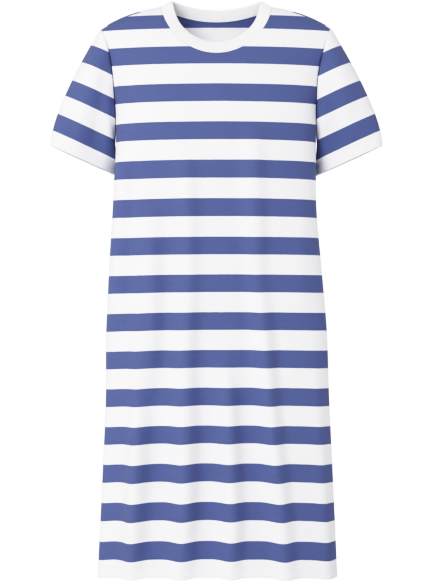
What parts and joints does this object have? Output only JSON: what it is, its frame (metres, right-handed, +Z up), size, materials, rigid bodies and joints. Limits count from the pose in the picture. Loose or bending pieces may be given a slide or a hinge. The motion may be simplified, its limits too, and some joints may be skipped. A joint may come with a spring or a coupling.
{
  "type": "jersey dress",
  "caption": "Knee-length jersey T-shirt dress with wide horizontal stripes, short set-in sleeves and a crew neck rib, hollow as if worn.",
  "frame": {"origin": "middle of the shoulder line between the two points where it meets the neck, where the wearer's shoulders carry the dress", "axes": "+Z up, the front faces -Y, +X is the viewer's right from the front"},
  "size_m": [0.615, 0.1875, 1.064],
  "materials": {
    "striped_jersey": "matte cotton single jersey, yarn-dyed blue and white stripes",
    "white_rib": "matte cotton rib knit"
  },
  "bodies": {
    "root": {"front_panel": "striped_jersey", "back_panel": "striped_jersey", "left_sleeve": "striped_jersey", "right_sleeve": "striped_jersey", "neck_rib": "white_rib"}
  },
  "joints": []
}
